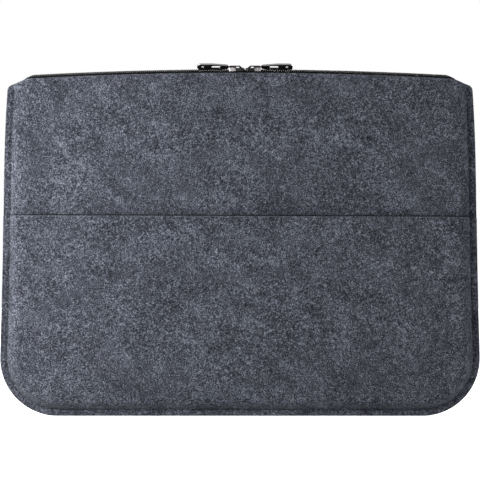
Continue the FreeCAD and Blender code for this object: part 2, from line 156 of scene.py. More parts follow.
# a new material's graph with its shader ready
class Finish(Graph):
    def __init__(self, name, **fixed):
        self.material = bpy.data.materials.new(name)
        self.material.use_nodes = True
        super().__init__(self.material.node_tree)
        self.shader = self.tree.nodes["Principled BSDF"]
        for key, setting in fixed.items():
            self.shader.inputs[key].default_value = setting
        self.place = self.wire("ShaderNodeTexCoord", out="Object")

    def vector(self, operation, first, second, key=1):
        return self.wire("ShaderNodeVectorMath", {"operation": operation}, {0: first, key: second})

    def shifted(self, step):
        return self.vector("ADD", self.place, step)

    def stretched(self, scale, place=None):
        return self.vector("MULTIPLY", place or self.place, scale)

    def axes(self):
        split = self.node("ShaderNodeSeparateXYZ", None, {0: self.place})
        return [Wire(self, split.outputs[k]) for k in range(3)]

    # a tone kept on the mesh's points
    def marked(self, attribute):
        return self.wire("ShaderNodeAttribute", {"attribute_name": attribute}, None, 2)

    # smooth random blobs, from 0 to 1
    def cloud(self, scale, detail=2.0, roughness=0.5, place=None):
        return self.wire("ShaderNodeTexNoise", None, {
            "Vector": place or self.place, "Scale": scale, "Detail": detail, "Roughness": roughness,
        })

    # thin curling lines, 1 along each line and 0 away from it
    def threads(self, scale, sharpness, place=None):
        blobs = self.cloud(scale, 1.0, 0.5, place)
        return (1 - abs(blobs * 2 - 1)) ** sharpness

    def colour(self, amount, stops):
        return self.wire("ShaderNodeValToRGB", {"stops": stops}, {0: amount})

    def mix(self, amount, first, second):
        return self.wire("ShaderNodeMix", {"data_type": "RGBA"}, {"Factor": amount, 6: first, 7: second}, 2)

    def relief(self, height, strength, depth):
        facts = {"Height": height, "Strength": strength, "Distance": depth}
        bump = self.node("ShaderNodeBump", None, facts)
        self.feed(self.shader.inputs["Normal"], bump.outputs[0])

    def shade(self, **links):
        for key, given in links.items():
            self.feed(self.shader.inputs[key.replace("_", " ")], given)
        return self.material


feltLook = {
    "dark": (0.0018, 0.0020, 0.0027),
    "middle": (0.0134, 0.0146, 0.0189),
    "light": (0.067, 0.072, 0.088),
    "toneStops": (0.02, 0.46, 0.98),
    "base": 0.44,  # the mottle's middle; the amounts below swing about it
    "patchScale": 48,
    "patches": 0.32,
    "streakScale": 75,
    "streakStretch": 0.35,
    "streakTurn": 0.9,
    "streaks": 0.34,
    "tuftScale": 430,
    "tufts": 0.40,
    "grainScale": 1050,
    "grain": 2.1,
    "fibreScale": 170,
    "paleFibres": 0.20,
    "crossFibres": 0.14,
    "darkFibres": 0.16,
    "swirlScale": 90,
    "curl": 0.009,  # how far the swirl bends the fibres
    "speckScale": 620,
    "specks": 0.14,
    "reliefStrength": 0.5,
    "reliefDepth": 0.0008,
}
# painted shadow above the pocket's mouth: a thin dark line and a soft darker band
mouthShadowLook = {
    "depth": 0.88,  # how dark the line above the pocket's mouth is
    "lineTop": 0.0014,  # heights above the mouth
    "lineBottom": 0.0004,
    "shadow": 0.22,
    "shadowBottom": 0.0005,
    "shadowTop": 0.010,
    "fadeStart": 0.1765,  # it fades out near the sides
    "fadeEnd": 0.1780,
}


# how much painted shadow the pocket's mouth lays on the felt behind it, from 0 to 1
def mouthShade(felt):
    look = mouthShadowLook
    x, _, z = felt.axes()
    rise = z - (sleeve["pocketTop"] + x * sleeve["pocketTilt"])
    line = 1 - rise.above(look["lineBottom"], look["lineTop"])
    shadow = (1 - rise.above(look["shadowBottom"], look["shadowTop"])) * (1 - line)
    inside = 1 - abs(x).above(look["fadeStart"], look["fadeEnd"])
    return (line * look["depth"] + shadow * look["shadow"]) * inside


# needled felt: fine pale and dark fibres curling through a mottled blue grey
def makeFelt(name="wool felt", mouthShadow=False):
    look = feltLook
    felt = Finish(name, **{"Sheen Weight": 0.01, "Sheen Roughness": 0.6, "Specular IOR Level": 0.03})
    whirl = {"Vector": felt.place, "Scale": look["swirlScale"], "Detail": 3}
    swirl = felt.wire("ShaderNodeTexNoise", None, whirl, "Color")
    curled = felt.vector("SCALE", felt.vector("SUBTRACT", swirl, (0.5, 0.5, 0.5)), look["curl"], "Scale")

    def layer(step):
        return felt.vector("ADD", felt.shifted(step), curled)

    tilt = {"Vector": felt.place, "Angle": look["streakTurn"]}
    turned = felt.wire("ShaderNodeVectorRotate", {"rotation_type": "Y_AXIS"}, tilt)
    paleFibres = felt.threads(look["fibreScale"], 22, layer((0, 0, 0)))
    crossFibres = felt.threads(look["fibreScale"] * 1.5, 18, layer((0.31, 0.17, 0.53)))
    darkFibres = felt.threads(look["fibreScale"] * 1.3, 14, layer((0.77, 0.41, 0.23)))
    patches = felt.cloud(look["patchScale"], 3.0, 0.6)
    drawnOut = felt.stretched((1, 1, look["streakStretch"]), turned)
    streaks = felt.cloud(look["streakScale"], 3.0, 0.6, drawnOut)
    tufts = felt.cloud(look["tuftScale"], 2.0, 0.55, layer((0.12, 0.61, 0.34)))
    grain = felt.cloud(look["grainScale"], 2.0, 0.7)
    specks = felt.cloud(look["speckScale"], 1.0, 0.5, felt.shifted((0.05, 0.9, 0.4))).above(0.66, 0.78)
    depth = look["base"] + (patches - 0.5) * look["patches"] + (streaks - 0.5) * look["streaks"]
    depth = depth + (tufts - 0.5) * look["tufts"] + (grain - 0.5) * look["grain"]
    depth = depth + paleFibres * look["paleFibres"] + crossFibres * look["crossFibres"]
    depth = depth - darkFibres * look["darkFibres"] + specks * look["specks"]
    colour = felt.colour(depth, list(zip(look["toneStops"], (look["dark"], look["middle"], look["light"]))))
    # painted shadow: the felt's colour is darkened just above the pocket's mouth
    if mouthShadow:
        colour = felt.mix(mouthShade(felt), colour, (*look["dark"], 1))
    # painted shade along the rim and in the stitch groove
    colour = felt.mix(felt.marked("pressed"), colour, (*look["dark"], 1))
    # painted highlight: the felt is lightened along the top cut edges
    colour = felt.mix(felt.marked("cut"), colour, (*look["light"], 1))
    felt.relief(depth, look["reliefStrength"], look["reliefDepth"])
    return felt.shade(Base_Color=colour, Roughness=0.88 + tufts * 0.1)


threadLook = {
    "felt": (0.0090, 0.0100, 0.0130),
    "zip": (0.0016, 0.0016, 0.0018),
    "twistScale": 2600,
    "darkest": 0.5,  # of the tone above
    "lightest": 1.4,
}


# twisted sewing thread
def makeThreadFinish(name, tone):
    look = threadLook
    thread = Finish(name, **{"Sheen Weight": 0.02, "Specular IOR Level": 0.06})
    twist = thread.cloud(look["twistScale"], 1.0, 0.5, thread.stretched((1, 1, 0.4)))
    dark = tuple(c * look["darkest"] for c in tone)
    light = tuple(c * look["lightest"] for c in tone)
    colour = thread.colour(twist, [(0.25, dark), (0.75, light)])
    thread.relief(twist, 0.6, 0.0002)
    return thread.shade(Base_Color=colour, Roughness=0.7 + twist * 0.2)


tapeLook = {
    "dark": (0.0006, 0.0006, 0.0007),
    "light": (0.0036, 0.0036, 0.004),
    "picks": 5200,  # threads across and along the tape
    "ribs": 7800,
    "slant": 1.4,
    "dustScale": 240,
}


# black woven polyester tape with a fine herringbone
def makeTapeFinish():
    look = tapeLook
    tape = Finish("woven zip tape", **{"Sheen Weight": 0.01, "Specular IOR Level": 0.04})
    x, y, z = tape.axes()
    picks = (y * look["picks"] + z * look["picks"]).math("SINE")
    ribs = (x * look["ribs"] + picks * look["slant"]).math("SINE")
    weave = (ribs * 0.5 + 0.5) * 0.7 + (picks * 0.5 + 0.5) * 0.3
    dust = tape.cloud(look["dustScale"], 3.0)
    colour = tape.colour(weave * 0.8 + dust * 0.2, [(0.1, look["dark"]), (0.9, look["light"])])
    tape.relief(weave, 0.5, 0.0002)
    return tape.shade(Base_Color=colour, Roughness=0.62 + dust * 0.25)


nylonLook = {
    "dark": (0.0006, 0.0006, 0.0007),
    "light": (0.0022, 0.0022, 0.0025),
    # painted highlight: the grey that stands in for the glints on the loops' outer bends
    "paintedGlint": (0.11, 0.11, 0.115),
    "highlightStrength": 0.6,
    "bendStart": 0.0025,  # the loops' outer bends, from the zip's middle
    "bendFull": 0.0029,
    "glintHalfHeight": (0.0001, 0.0005),
    "scuffScale": 420,
}


# black nylon of the coil, with a painted glint of grey in the middle of each loop's outer bend
def makeNylon():
    look = nylonLook
    nylon = Finish("black nylon coil", **{"Specular IOR Level": 0.12})
    x, y, z = nylon.axes()
    lift = z - (zipPath["height"] - zipPath["bow"])
    rise = (x * x + lift * lift).math("SQRT") - zipPath["bow"]
    bends = abs(y - zipPath["middle"]).above(look["bendStart"], look["bendFull"])
    paintedGlint = bends * (1 - abs(rise).above(*look["glintHalfHeight"])) * look["highlightStrength"]
    scuffs = nylon.cloud(look["scuffScale"], 3.0, 0.6)
    black = nylon.colour(scuffs, [(0.3, look["dark"]), (0.8, look["light"])])
    colour = nylon.mix(paintedGlint, black, (*look["paintedGlint"], 1))
    nylon.relief(nylon.cloud(1800, 2.0), 0.12, 0.0001)
    return nylon.shade(Base_Color=colour, Roughness=0.24 + scuffs * 0.16)


metalLook = {
    "blackDark": (0.0009, 0.0009, 0.001),
    "blackLight": (0.0034, 0.0034, 0.0038),
    "chip": (0.02, 0.019, 0.019),
    # grey metal of the painted highlight along the tab's upper edge
    "edgeDark": (0.13, 0.125, 0.125),
    "edgeLight": (0.24, 0.23, 0.23),
    "edgeMetal": 0.8,
    "mottleScale": 900,
    "scratchScale": 260,
    "chipScale": 520,
}


# black baked coating with fine scratches, and grey metal along the tab's upper long edge as a painted
# highlight
def makeBlackMetal():
    look = metalLook
    metal = Finish("black coated metal", **{"Specular IOR Level": 0.22})
    mottle = metal.cloud(look["mottleScale"], 3.0, 0.6)
    scratches = metal.threads(look["scratchScale"], 40, metal.stretched((0.35, 1, 1.6)))
    chips = metal.cloud(look["chipScale"], 4.0, 0.7).above(0.66, 0.74) * 0.5
    black = metal.colour(mottle + scratches * 0.3, [(0.2, look["blackDark"]), (0.9, look["blackLight"])])
    grey = metal.colour(mottle, [(0.3, look["edgeDark"]), (0.8, look["edgeLight"])])
    bare = metal.marked("bare")
    colour = metal.mix(bare, metal.mix(chips, black, (*look["chip"], 1)), grey)
    metal.relief(mottle + scratches * -0.6, 0.10, 0.0001)
    return metal.shade(Base_Color=colour, Metallic=bare * look["edgeMetal"], Roughness=0.26 + mottle * 0.16)


sliderLook = {
    "places": {"left": -0.00255, "right": 0.01035},
    "rounding": 0.00026,
    "blackDark": (0.0009, 0.0009, 0.001),
    "blackLight": (0.004, 0.004, 0.0044),
    "greyDark": (0.10, 0.092, 0.092),
    "greyLight": (0.36, 0.335, 0.335),
    "greyFrom": (0.0012, 0.0024),  # from the slider's middle towards its rear
    "greyTop": (0.0026, 0.0032),  # above the coil's middle
    "mottleScale": 700,
    "edgeWander": 0.0012,
    "metal": 0.95,
    "highlightDepth": 0.0012,  # painted highlight: how far down from its top the bridge takes grey metal where it faces up
    "highlightFacing": (2, 0.4),
    "highlightStrength": 0.8,
}


# cast slider: grey metal on the rear's side walls, black coating on the nose and the bridge, with a painted
# highlight of grey metal along the bridge's up-facing top
def makeSliderFinish(word, outwards):
    look = sliderLook
    metal = Finish(f"slider metal {word}", **{"Specular IOR Level": 0.14})
    x, _, z = metal.axes()
    mottle = metal.cloud(look["mottleScale"], 4.0, 0.65)
    edge = metal.cloud(900, 2.0, 0.5) * look["edgeWander"]
    rear = ((x - look["places"][word]) * outwards + edge).above(*look["greyFrom"])
    low = 1 - (z + edge).above(*(zipPath["height"] + top for top in look["greyTop"]))
    bare = (rear * low).math("MAXIMUM", metal.marked("bare"))
    black = metal.colour(mottle, [(0.2, look["blackDark"]), (0.9, look["blackLight"])])
    grey = metal.colour(mottle, [(0.25, look["greyDark"]), (0.8, look["greyLight"])])
    metal.relief(mottle, 0.25, 0.0002)
    colour = metal.mix(bare, black, grey)
    return metal.shade(Base_Color=colour, Metallic=bare * look["metal"], Roughness=0.28 + mottle * 0.2)


feltFinish = makeFelt()
feltWithMouthShadow = makeFelt("wool felt behind the pocket", True)
feltThread = makeThreadFinish("dark seam thread", threadLook["felt"])
blackThread = makeThreadFinish("black zip thread", threadLook["zip"])
tapeFinish = makeTapeFinish()
nylonFinish = makeNylon()
blackMetal = makeBlackMetal()
print("finishes ready")


# how far the side edge, or a line inset from it, stands from the middle at a height
def sideX(z, inset=0.0):
    lean = sleeve["sideLean"]
    reach = (sleeve["cornerRadius"] - inset) / math.cos(lean)
    share = min(max((z - sleeve["sideBowStart"]) / sleeve["sideBowHeight"], 0), 1)
    bow = sleeve["sideBow"] * math.sin(math.pi * share**2)
    return sleeve["cornerCentre"] + reach - (z - sleeve["cornerRadius"]) * math.tan(lean) + bow


# height of the felt's top edge: a bow over the zip and a slope down each ear
def mouthZ(x):
    radius = zipPath["bow"] - zipPath["feltDrop"]
    centre = zipPath["height"] - zipPath["bow"]
    root = sleeve["earRoot"]
    if abs(x) <= root:
        return centre + math.sqrt(radius**2 - x * x)
    return centre + math.sqrt(radius**2 - root**2) - (abs(x) - root) * math.tan(sleeve["earSlope"])


def pocketZ(x):
    return sleeve["pocketTop"] + sleeve["pocketTilt"] * x


# points of an arc that rounds a corner
def roundCorner(before, corner, after, radius, steps):
    a = (before - corner).normalized()
    b = (after - corner).normalized()
    half = a.angle(b) / 2
    reach = radius / math.tan(half)
    centre = corner + (a + b).normalized() * (radius / math.sin(half))
    start = corner + a * reach - centre
    sweep = (corner + b * reach - centre).angle_signed(start)
    return [centre + Matrix.Rotation(sweep * k / steps, 2) @ start for k in range(steps + 1)]


# points from start towards end, about a gap apart, without the end itself
def spread(start, end, gap):
    count = max(1, round((end - start).length / gap))
    return [start.lerp(end, k / count) for k in range(count)]


outlineLook = {
    "gap": 0.003,
    "fineGap": 0.0012,  # for the stitches to follow
    "cornerSteps": 40,
    "earSteps": 10,
    "firstHeight": 0.2,  # where the search for an ear's corner starts
    "earReach": 0.008,  # how far off an ear's corner its two edges are sighted
    "sideReach": 0.01,
}


# the outline's right half from the bottom's middle up to the top edge's middle
def rightHalf(topZ, rounding, gap=outlineLook["gap"]):
    look = outlineLook
    lean = sleeve["sideLean"]
    radius = sleeve["cornerRadius"]
    centre = Vector((sleeve["cornerCentre"], radius))
    points = spread(Vector((0, 0)), Vector((centre.x, 0)), gap)
    for k in range(look["cornerSteps"] + 1):
        angle = -math.pi / 2 + (math.pi / 2 + lean) * k / look["cornerSteps"]
        points.append(centre + radius * Vector((math.cos(angle), math.sin(angle))))
    z = topZ(sideX(topZ(sideX(look["firstHeight"]))))
    corner = Vector((sideX(z), z))
    inner = Vector((corner.x - look["earReach"], topZ(corner.x - look["earReach"])))
    below = Vector((sideX(z - look["sideReach"]), z - look["sideReach"]))
    arc = roundCorner(below, corner, inner, rounding, look["earSteps"])
    start = points[-1].y
    count = round((arc[0].y - start) / gap)
    heights = [start + (arc[0].y - start) * k / count for k in range(1, count)]
    points += [Vector((sideX(h), h)) for h in heights]
    points += arc
    last = points[-1].x
    count = round(last / gap)
    points += [Vector((last * (1 - k / count), topZ(last * (1 - k / count)))) for k in range(1, count + 1)]
    return points


# the closed outline, anticlockwise seen from the front
def wholeOutline(topZ, rounding):
    right = rightHalf(topZ, rounding)
    left = rightHalf(lambda x: topZ(-x), rounding)
    return right + [Vector((-p.x, p.y)) for p in reversed(left[1:-1])]


# distance inwards from the side and bottom edges
def seamInset(x, z):
    lean = sleeve["sideLean"]
    radius = sleeve["cornerRadius"]
    fromCentre = Vector((abs(x) - sleeve["cornerCentre"], z - radius))
    if fromCentre.x > 0 and fromCentre.y < fromCentre.x * math.tan(lean):
        return radius - fromCentre.length
    return min((sideX(z) - abs(x)) * math.cos(lean), z)


feltShape = {
    "seam": 0.0052,  # stitch line, in from the cut edge
    "pinch": 0.0005,  # how deep the stitches pull the felt in
    "pinchWidth": 0.0011,
    "rimTone": 0.02,  # painted shade: the rim is darkened a little up the sides
    "rimToneHeight": 0.05,
    "rimToneEnd": 0.0048,
    "rimToneFade": 0.0012,
    # painted shade in the stitch groove
    "grooveShade": 0.06,
    "grooveWidth": 0.0010,
    "cutHighlight": 0.15,  # painted highlight: a pale line along a mouth's cut edge, where the edge catches the light
    "cutWidth": 0.0008,
    "cutStart": 0.006,  # and only inside the rims
    "slopeStart": 0.0056,
    "slopeWidth": 0.0110,
    "slopeCurve": 3.0,
    "edgeRounding": 0.0007,
    "bulge": 0.0012,
    "bulgeHalf": 0.17,
    "bulgeBottom": 0.12,
    "bulgeTop": 0.262,
    "bulgeFade": 0.08,
    "unevenness": 0.0005,
    "broadWaves": 14,
    "fineWaves": 34,
    "grid": 0.0055,
    "gridHalf": 0.19,
    "gridMargin": 0.4,  # of the grid, between it and the rings
    "jitter": 0.22,  # of the grid
    "jitterScale": 900,
    "ringSlack": 0.07,  # how far a ring's point may be off its inset
    "topMargin": 0.0004,
    "topRings": 0.0032,  # rings within this follow the top edge too
}
ringInsets = (  # close together at the cut edge and round the groove
    0.00010, 0.00030, 0.00060, 0.0009, 0.0018, 0.0031, 0.0040, 0.0045, 0.0049, 0.0053,
    0.0057, 0.0061, 0.0066, 0.0072, 0.0080, 0.0092, 0.0108, 0.0130, 0.0158,
)


# how far the pocket lies off the panel behind it, least at its mouth
def pocketSlack(z):
    t = min(max((sleeve["pocketTop"] - z) / sleeve["pocketEase"], 0), 1)
    return sleeve["pocketMouthGap"] + sleeve["pocketGap"] * t * t * (3 - 2 * t)


# how far a panel's face stands out from its rim
def feltRise(x, z, depth, layer):
    look = feltShape
    t = min(max((seamInset(x, z) - look["slopeStart"]) / look["slopeWidth"], 0), 1)
    rise = depth * (1 - (1 - t) ** look["slopeCurve"])
    upper = min(1, max(0, look["bulgeTop"] - z) / look["bulgeFade"])
    swell = look["bulge"] * max(0, 1 - (x / look["bulgeHalf"]) ** 2)
    swell = swell * min(1, z / look["bulgeBottom"]) * upper
    broad = noise.noise(Vector((x * look["broadWaves"], z * look["broadWaves"], layer)))
    fine = noise.noise(Vector((x * look["fineWaves"], z * look["fineWaves"], layer + 5)))
    return rise + t * (swell + look["unevenness"] * (broad + 0.5 * fine))


def pinch(inset):
    return feltShape["pinch"] * math.exp(-(((inset - feltShape["seam"]) / feltShape["pinchWidth"]) ** 2))


# how much painted shade the felt takes: a little along the sides' rim and more in the stitch groove
def seamShade(inset, z):
    look = feltShape
    upwards = min(z / look["rimToneHeight"], 1)
    inwards = min(max((inset - look["rimToneEnd"]) / look["rimToneFade"], 0), 1)
    rim = look["rimTone"] * upwards * (1 - inwards)
    groove = look["grooveShade"] * math.exp(-(((inset - look["seam"]) / look["grooveWidth"]) ** 2))
    return min(1, rim + groove)


# how far the rounded cut edge falls back near the outline
def edgeDrop(inset):
    r = feltShape["edgeRounding"]
    return 0 if inset >= r else r - math.sqrt(max(0, r * r - (r - inset) ** 2))


# plan points of a panel: rings that follow the outline and a loose grid inside them
def feltPoints(outline, topZ):
    look = feltShape
    points = [p.copy() for p in outline]
    count = len(outline)
    for inset in ringInsets:
        least, most = inset * (1 - look["ringSlack"]), inset * (1 + look["ringSlack"])
        nearTop = inset <= look["topRings"]
        for k, p in enumerate(outline):
            ahead = (outline[(k + 1) % count] - outline[k - 1]).normalized()
            q = p + Vector((-ahead.y, ahead.x)) * inset
            fromSeam, fromTop = seamInset(q.x, q.y), topZ(q.x) - q.y
            if fromSeam > least and fromTop > (least if nearTop else look["topMargin"]):
                if nearTop or fromSeam < most:
                    points.append(q)
    return points + feltGrid(topZ)


# a loose grid of points inside the rings, every other row shifted by half a step
def feltGrid(topZ):
    look = feltShape
    step = look["grid"]
    margin = step * look["gridMargin"]
    points = []
    row = 0
    z = step / 2
    while z < topZ(0):
        x = -look["gridHalf"] + (row % 2) * step / 2
        while x < look["gridHalf"]:
            place = Vector((x * look["jitterScale"], z * look["jitterScale"], 1))
            jitter = look["jitter"] * step * noise.noise_vector(place)
            q = Vector((x + jitter.x, z + jitter.y))
            inside = seamInset(q.x, q.y) > ringInsets[-1] + margin
            if inside and topZ(q.x) - q.y > look["topRings"] + margin:
                points.append(q)
            x += step
        z += step
        row += 1
    return points


# a felt panel as one closed shell, its rim's inner face at rimY and its outer face towards side
def makePanel(name, outline, topZ, rimY, side, layer, finish, slack=None):
    plan = feltPoints(outline, topZ)
    count = len(outline)
    fence = [(k, (k + 1) % count) for k in range(count)]
    flat, _, triangles, _, _, _ = delaunay_2d_cdt(plan, fence, [], 1, 1e-7)
    thick = sleeve["feltThickness"]
    outer, inner, pressed, cut = [], [], [], []
    for p in flat:
        inset = seamInset(p.x, p.y)
        near = min(inset, topZ(p.x) - p.y)
        rise = feltRise(p.x, p.y, cavity + (slack(p.y) if slack else 0), layer)
        outer.append((p.x, rimY + side * (thick + rise - pinch(inset) - edgeDrop(near)), p.y))
        inner.append((p.x, rimY + side * (rise + edgeDrop(near)), p.y))
        # painted shade along the seam, and a painted highlight along the top cut edge
        pressed.append(seamShade(inset, p.y))
        isCut = topZ(p.x) - p.y < feltShape["cutWidth"] and inset > feltShape["cutStart"]
        cut.append(feltShape["cutHighlight"] if isCut else 0)
    size = len(flat)
    faces = []
    used = {}
    for a, b, c in triangles:
        faces.append((a, b, c))
        faces.append((c + size, b + size, a + size))
        for pair in ((a, b), (b, c), (c, a)):
            used[pair] = True
    for a, b in used:
        if (b, a) not in used:
            faces.append((b, a, a + size, b + size))
    if side > 0:
        faces = [tuple(reversed(f)) for f in faces]
    panel = makeObject(name, outer + inner, faces, finish)
    for tone, values in (("pressed", pressed), ("cut", cut)):
        panel.data.attributes.new(tone, "FLOAT", "POINT").data.foreach_set("value", values + values)
    return panel


def addObject(name, data):
    thing = bpy.data.objects.new(name, data)
    bpy.context.collection.objects.link(thing)
    return thing


# an object that bears its mesh's name and has one finish
def dressed(mesh, finish, smooth=True):
    mesh.materials.clear()
    mesh.materials.append(finish)
    mesh.polygons.foreach_set("use_smooth", [smooth] * len(mesh.polygons))
    return addObject(mesh.name, mesh)


def makeObject(name, points, faces, finish, smooth=True):
    mesh = bpy.data.meshes.new(name)
    mesh.from_pydata([tuple(p) for p in points], [], faces)
    mesh.validate()
    return dressed(mesh, finish, smooth)


halfFelt = sleeve["feltThickness"] / 2
cavity = sleeve["cavityDepth"] / 2
panelOutline = wholeOutline(mouthZ, sleeve["earRounding"])
pocketOutline = wholeOutline(pocketZ, sleeve["pocketRounding"])
frontPanel = makePanel("felt_front", panelOutline, mouthZ, halfFelt, -1, 1, feltWithMouthShadow)
backPanel = makePanel("felt_back", panelOutline, mouthZ, halfFelt, 1, 2, feltFinish)
pocketPanel = makePanel("felt_pocket", pocketOutline, pocketZ, -halfFelt, -1, 1, feltFinish, pocketSlack)
for piece, node in ((frontPanel, "front_panel"), (backPanel, "back_panel"), (pocketPanel, "pocket_panel")):
    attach(piece, "sleeve")
    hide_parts(node)
    corner = (1 - math.pi / 4) * 2 * sleeve["cornerRadius"] ** 2
    height = sleeve["pocketTop"] if piece == pocketPanel else mouthZ(0)
    width = 2 * sideX(sleeve["cornerRadius"])
    width * height * sleeve["topLoss"] - corner
print("felt panels ready:", [len(o.data.polygons) for o in (frontPanel, backPanel, pocketPanel)])


# a point of the zip: along the bow, towards the back, and above the coil's middle
def onZip(along, across, above):
    angle = along / zipPath["bow"]
    radius = zipPath["bow"] + above
    centre = zipPath["height"] - zipPath["bow"]
    return Vector((radius * math.sin(angle), zipPath["middle"] + across, centre + radius * math.cos(angle)))


# a point that follows the coil, or a share of its curve, down into the ears
def bentZip(along, across, above, share=1.0):
    past = max(0, abs(along) - zipPath["bendStart"])
    return onZip(along, across, above - share * zipPath["bend"] * past**2)


# the place and turn of a piece that stands on the zip, with its own x along the bow
def zipFrame(along):
    return Matrix.Translation(onZip(along, 0, 0)) @ Matrix.Rotation(along / zipPath["bow"], 4, "Y")


def addSpline(curve, points):
    spline = curve.splines.new("POLY")
    spline.points.add(len(points) - 1)
    for point, place in zip(spline.points, points):
        point.co = (*place, 1)
    return spline


# a plain curve through the points, for the generators to follow
def lineObject(name, points):
    curve = bpy.data.curves.new(name, "CURVE")
    curve.dimensions = "3D"
    addSpline(curve, points)
    return addObject(name, curve)


# a Geometry Nodes group with named inputs
class Generator(Graph):
    def __init__(self, name, **kinds):
        super().__init__(bpy.data.node_groups.new(name, "GeometryNodeTree"))
        self.identifiers = {}
        self.tree.interface.new_socket("Geometry", in_out="INPUT", socket_type="NodeSocketGeometry")
        self.tree.interface.new_socket("Geometry", in_out="OUTPUT", socket_type="NodeSocketGeometry")
        for key, kind in kinds.items():
            made = self.tree.interface.new_socket(key, in_out="INPUT", socket_type=f"NodeSocket{kind}")
            self.identifiers[key] = made.identifier
        self.start = self.tree.nodes.new("NodeGroupInput")

    def given(self, key):
        return Wire(self, self.start.outputs[key])

    # closes the group with real geometry and its material
    def end(self, geometry):
        solid = self.wire("GeometryNodeRealizeInstances", None, {0: geometry})
        facts = {"Geometry": solid, "Material": self.given("Material")}
        last = self.wire("GeometryNodeSetMaterial", None, facts)
        self.feed(self.tree.nodes.new("NodeGroupOutput").inputs[0], last)
        return self

    # runs the group on an object and returns the result as a plain mesh object
    def grow(self, thing, name, **values):
        modifier = thing.modifiers.new("grow", "NODES")
        modifier.node_group = self.tree
        for key, setting in values.items():
            modifier[self.identifiers[key]] = setting
        thing.update_tag()
        bpy.context.view_layer.update()
        evaluated = thing.evaluated_get(bpy.context.evaluated_depsgraph_get())
        mesh = bpy.data.meshes.new_from_object(evaluated)
        thing.modifiers.remove(modifier)
        mesh.name = name
        made = addObject(name, mesh)
        bpy.data.objects.remove(thing)
        return made


stitchLook = {
    "edgePitch": 0.0034,
    "edgeLength": 0.0031,
    "edgeThickness": 0.00055,
    "edgeEnd": 0.0012,  # the seam stops this short of the mouth
    "edgeSink": 0.00012,  # how far the thread's middle lies under the groove's floor
    "zipPitch": 0.0026,
    "zipLength": 0.0023,
    "zipThickness": 0.00045,
    "zipDrop": 0.0063,  # coil's middle to the seam through the felt
    "zipSink": 0.0002,
    "zipReach": 0.1625,
    "zipSteps": 90,
    "rowPitch": 0.00155,
    "rowLength": 0.0016,
    "rowThickness": 0.00062,
    "rowDrop": 0.00125,
    "rowReach": 0.1668,
    "rowAcross": 0.0033,
    "rowSteps": 90,
    "rowBend": 0.4,  # the rows curve down less than the coil, clear of the sliders
    "tackPitch": 0.00048,
    "tackThickness": 0.00105,
    "tackPlace": 0.1670,
    "tackWidth": 0.0052,
    "tackHalf": 0.0015,
    "tackRowGap": 0.0007,
    "tackSlope": math.radians(35),
    "thinnest": 0.88,  # of the thread's thickness
    "thickest": 1.12,
}


# rows of short thread humps along a curve, each one a squashed ball laid along its path
def makeStitcher():
    group = Generator(
        "stitches", Pitch="Float", Length="Float", Thickness="Float", Turn="Float",
        Thinnest="Float", Thickest="Float", Seed="Int", Material="Material",
    )
    given = group.given
    line = {0: group.start.outputs[0], "Length": given("Pitch")}
    row = group.wire("GeometryNodeResampleCurve", {"mode": "LENGTH"}, line)
    hump = group.wire("GeometryNodeMeshIcoSphere", None, {"Radius": 0.5, "Subdivisions": 1})
    tangent = group.wire("GeometryNodeInputTangent")
    turn = group.wire("FunctionNodeAlignRotationToVector", {"axis": "X"}, {"Vector": tangent})
    extra = group.wire("ShaderNodeCombineXYZ", None, {2: given("Turn")})
    spin = {"Rotation": turn, "Rotate By": extra}
    turned = group.wire("FunctionNodeRotateRotation", {"rotation_space": "LOCAL"}, spin)
    bounds = {2: given("Thinnest"), 3: given("Thickest"), "Seed": given("Seed")}
    uneven = group.wire("FunctionNodeRandomValue", {"data_type": "FLOAT"}, bounds, 1)
    size = group.wire("ShaderNodeCombineXYZ", None, {
        0: given("Length"),
        1: given("Thickness") * uneven,
        2: given("Thickness"),
    })
    humps = group.wire("GeometryNodeInstanceOnPoints", None, {
        "Points": row, "Instance": hump, "Rotation": turned, "Scale": size,
    })
    solid = group.wire("GeometryNodeRealizeInstances", None, {0: humps})
    return group.end(group.wire("GeometryNodeSetShadeSmooth", None, {0: solid}))


coilLook = {
    "pitch": 0.00155,
    "wire": 0.00076,
    "inner": -0.0002,  # the heads reach just past the middle and interlock
    "outer": 0.0031,
    "halfHeight": 0.00115,
    "squareness": 0.62,
    "pointsPerTurn": 14,
}


# half of the zip's coil: one nylon wire wound into flat loops and bent along the bow
def makeCoiler():
    group = Generator(
        "zip coil", Side="Float", Phase="Float", Pitch="Float", Turns="Float", Points="Int",
        Wire="Float", Inner="Float", Outer="Float", Rise="Float", Squareness="Float",
        Bow="Float", Middle="Float", Height="Float", BendStart="Float", Bend="Float", Material="Material",
    )
    given = group.given
    line = group.wire("GeometryNodeMeshLine", {"mode": "OFFSET"}, {"Count": given("Points")})
    index = group.wire("GeometryNodeInputIndex")
    share = index / (given("Points") - 1)
    turns = (share - 0.5) * given("Turns")
    angle = (turns + given("Phase")) * (2 * math.pi)

    def squared(wave):
        return wave.math("SIGN") * (abs(wave) ** given("Squareness"))

    half = (given("Outer") - given("Inner") - given("Wire")) * 0.5
    centre = (given("Outer") + given("Inner")) * 0.5
    across = centre + half * squared(angle.math("COSINE"))
    above = (given("Rise") - given("Wire") * 0.5) * squared(angle.math("SINE"))
    along = turns * given("Pitch")
    around = along / given("Bow")
    past = (abs(along) - given("BendStart")).math("MAXIMUM", 0.0)
    radius = given("Bow") + above - past * past * given("Bend")
    place = group.wire("ShaderNodeCombineXYZ", None, {
        0: radius * around.math("SINE"),
        1: given("Middle") + given("Side") * across,
        2: given("Height") - given("Bow") + radius * around.math("COSINE"),
    })
    wound = group.wire("GeometryNodeSetPosition", None, {"Geometry": line, "Position": place})
    path = group.wire("GeometryNodeMeshToCurve", None, {0: wound})
    section = {"Resolution": 6, "Radius": given("Wire") * 0.5}
    ring = group.wire("GeometryNodeCurvePrimitiveCircle", None, section)
    facts = {"Curve": path, "Profile Curve": ring, "Fill Caps": True}
    tube = group.wire("GeometryNodeCurveToMesh", None, facts)
    return group.end(group.wire("GeometryNodeSetShadeSmooth", None, {0: tube}))


